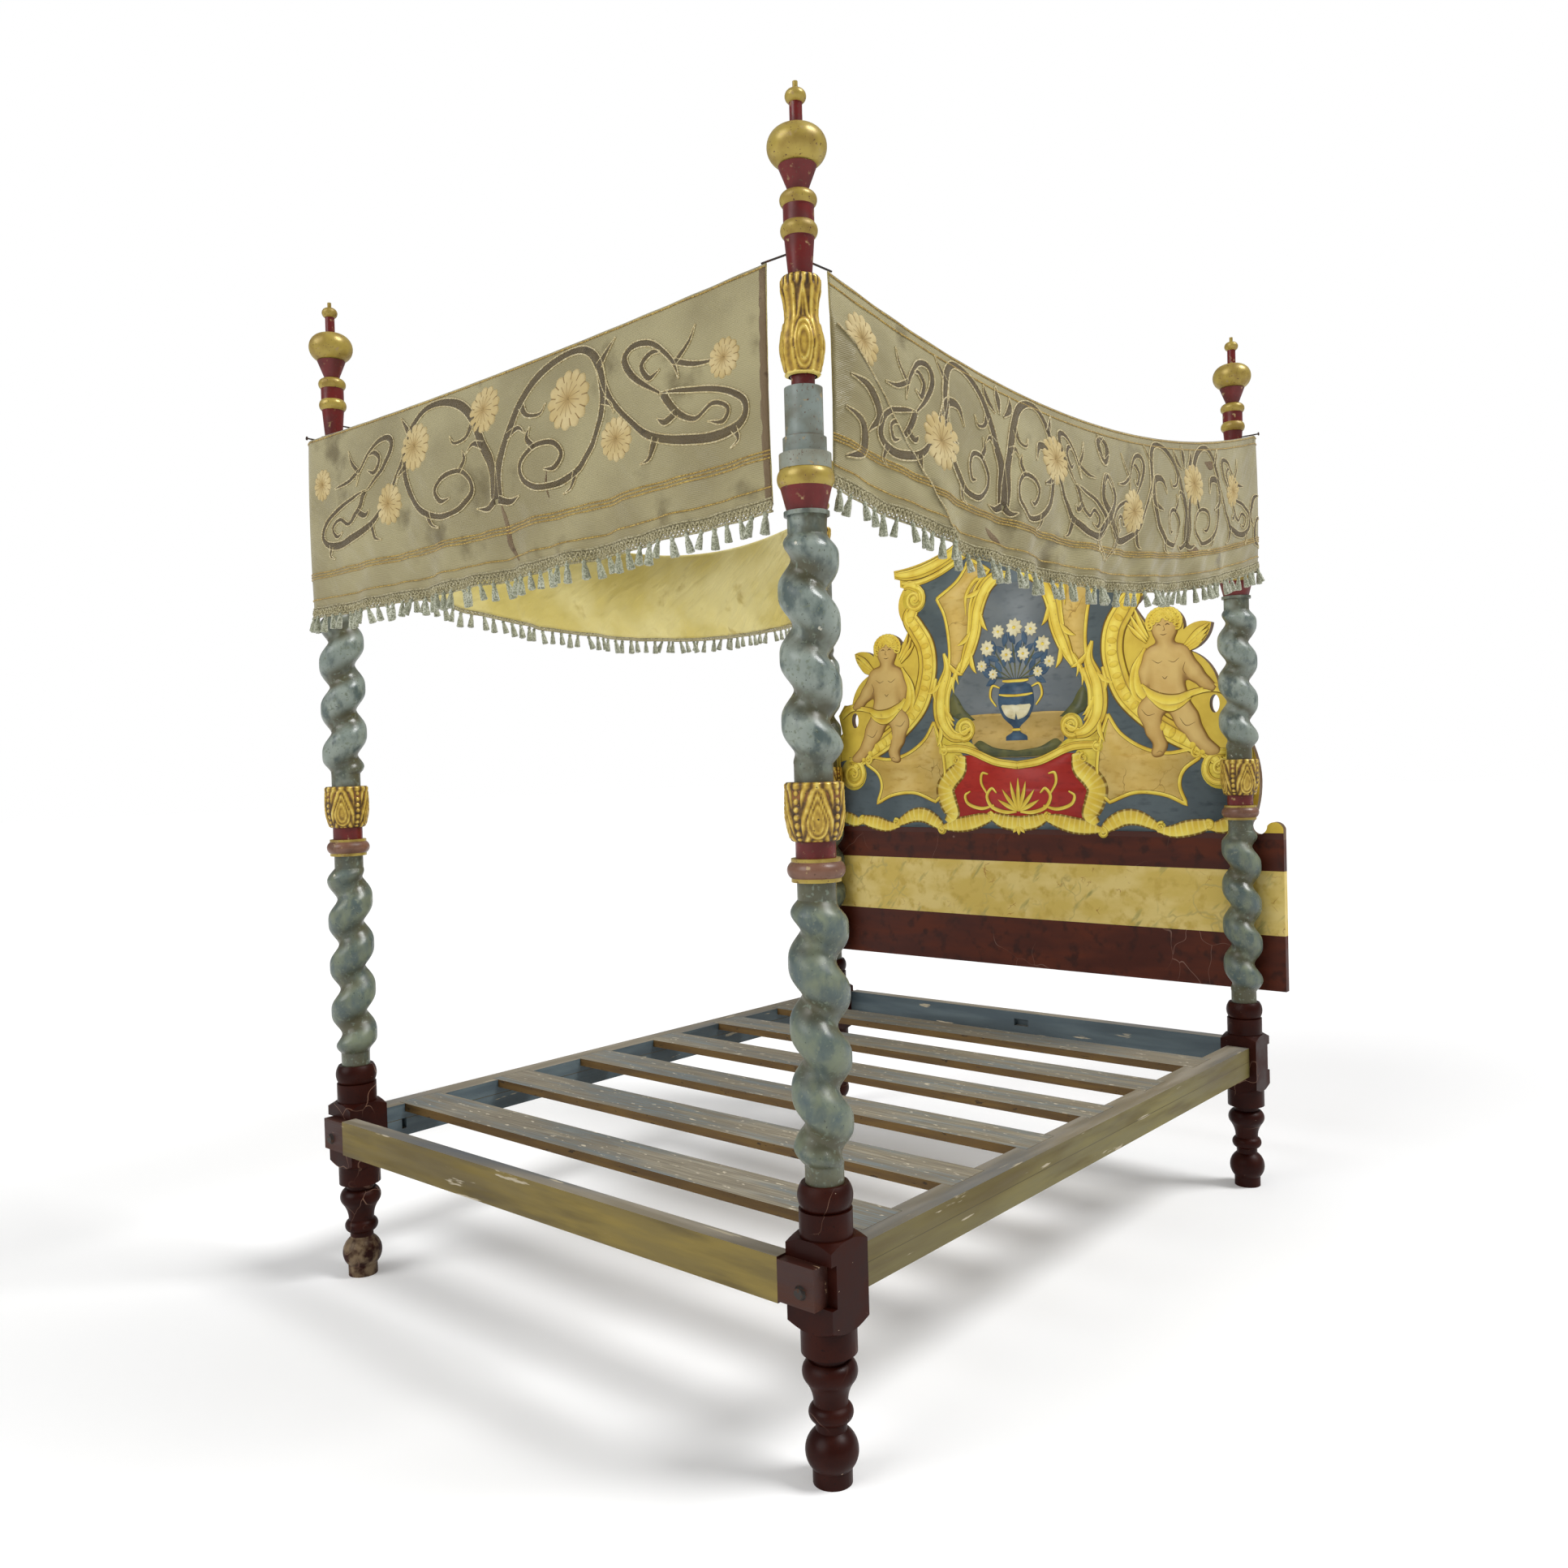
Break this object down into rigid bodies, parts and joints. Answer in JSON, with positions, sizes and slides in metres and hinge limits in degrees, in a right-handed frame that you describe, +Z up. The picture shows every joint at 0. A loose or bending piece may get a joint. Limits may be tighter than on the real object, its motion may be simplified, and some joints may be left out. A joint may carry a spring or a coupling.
{
  "type": "canopy bed",
  "caption": "Canopy bed with painted and gilt barley-twist posts, bolted rails, loose slats, a tall cut-out headboard and tasselled cloth valances on lift-out poles.",
  "frame": {"origin": "on the floor, under the middle of the bed's box", "axes": "+Z up, +Y from the foot to the head, +X to the right seen from the foot"},
  "size_m": [1.85, 2.2644, 2.613],
  "materials": {
    "leg_paint": "oxblood paint with faint veins, worn",
    "shaft_paint": "pale blue-green paint, mottled and worn",
    "capital_gilt": "carved and gilt, over red and mauve paint",
    "collar_paint": "red, gold and grey paint",
    "pole_paint": "blue, red and gold paint",
    "finial_gilt": "gold paint with a red stem",
    "rail_paint": "ochre paint outside, blue-grey inside, worn",
    "slat_wood": "old wood, greyed, with traces of paint",
    "iron": "dark forged iron",
    "plank_paint": "oxblood paint with a marbled yellow band",
    "crest_paint": "painted scrollwork in yellow on blue-grey",
    "batten_wood": "bare old wood",
    "valance_cloth": "sage satin with applied velvet scrolls, yellow lining",
    "fringe": "braid and tassels, grey-green"
  },
  "bodies": {
    "bedstead": {"batten_screws": "iron", "bed_bolts": "iron", "bed_nuts": "iron", "crest_lower_board": "crest_paint", "crest_upper_board": "crest_paint", "foot_left_capital": "capital_gilt", "foot_left_collar": "collar_paint", "foot_left_leg": "leg_paint", "foot_left_lower_shaft": "shaft_paint", "foot_left_upper_shaft": "shaft_paint", "foot_rail": "rail_paint", "foot_right_capital": "capital_gilt", "foot_right_collar": "collar_paint", "foot_right_leg": "leg_paint", "foot_right_lower_shaft": "shaft_paint", "foot_right_upper_shaft": "shaft_paint", "head_left_capital": "capital_gilt", "head_left_collar": "collar_paint", "head_left_leg": "leg_paint", "head_left_lower_shaft": "shaft_paint", "head_left_upper_shaft": "shaft_paint", "head_rail": "rail_paint", "head_right_capital": "capital_gilt", "head_right_collar": "collar_paint", "head_right_leg": "leg_paint", "head_right_lower_shaft": "shaft_paint", "head_right_upper_shaft": "shaft_paint", "headboard_plank": "plank_paint", "left_batten": "batten_wood", "left_rail": "rail_paint", "post_screws": "iron", "right_batten": "batten_wood", "right_rail": "rail_paint"},
    "canopy": {"foot_fringe": "fringe", "foot_left_finial": "finial_gilt", "foot_left_pole": "pole_paint", "foot_right_finial": "finial_gilt", "foot_right_pole": "pole_paint", "foot_valance": "valance_cloth", "head_left_finial": "finial_gilt", "head_left_pole": "pole_paint", "head_right_finial": "finial_gilt", "head_right_pole": "pole_paint", "left_fringe": "fringe", "left_valance": "valance_cloth", "right_fringe": "fringe", "right_valance": "valance_cloth", "valance_nails": "iron"},
    "slat_1": {"slat_1": "slat_wood"},
    "slat_2": {"slat_2": "slat_wood"},
    "slat_3": {"slat_3": "slat_wood"},
    "slat_4": {"slat_4": "slat_wood"},
    "slat_5": {"slat_5": "slat_wood"},
    "slat_6": {"slat_6": "slat_wood"}
  },
  "joints": [
    {"name": "canopy_lift", "type": "slide", "parent": "bedstead", "child": "canopy", "axis": [0, 0, 1], "range_m": [0, 0.1]},
    {"name": "slat_1_lift", "type": "slide", "parent": "bedstead", "child": "slat_1", "axis": [0, 0, 1], "range_m": [0, 0.06]},
    {"name": "slat_2_lift", "type": "slide", "parent": "bedstead", "child": "slat_2", "axis": [0, 0, 1], "range_m": [0, 0.06]},
    {"name": "slat_3_lift", "type": "slide", "parent": "bedstead", "child": "slat_3", "axis": [0, 0, 1], "range_m": [0, 0.06]},
    {"name": "slat_4_lift", "type": "slide", "parent": "bedstead", "child": "slat_4", "axis": [0, 0, 1], "range_m": [0, 0.06]},
    {"name": "slat_5_lift", "type": "slide", "parent": "bedstead", "child": "slat_5", "axis": [0, 0, 1], "range_m": [0, 0.06]},
    {"name": "slat_6_lift", "type": "slide", "parent": "bedstead", "child": "slat_6", "axis": [0, 0, 1], "range_m": [0, 0.06]}
  ]
}
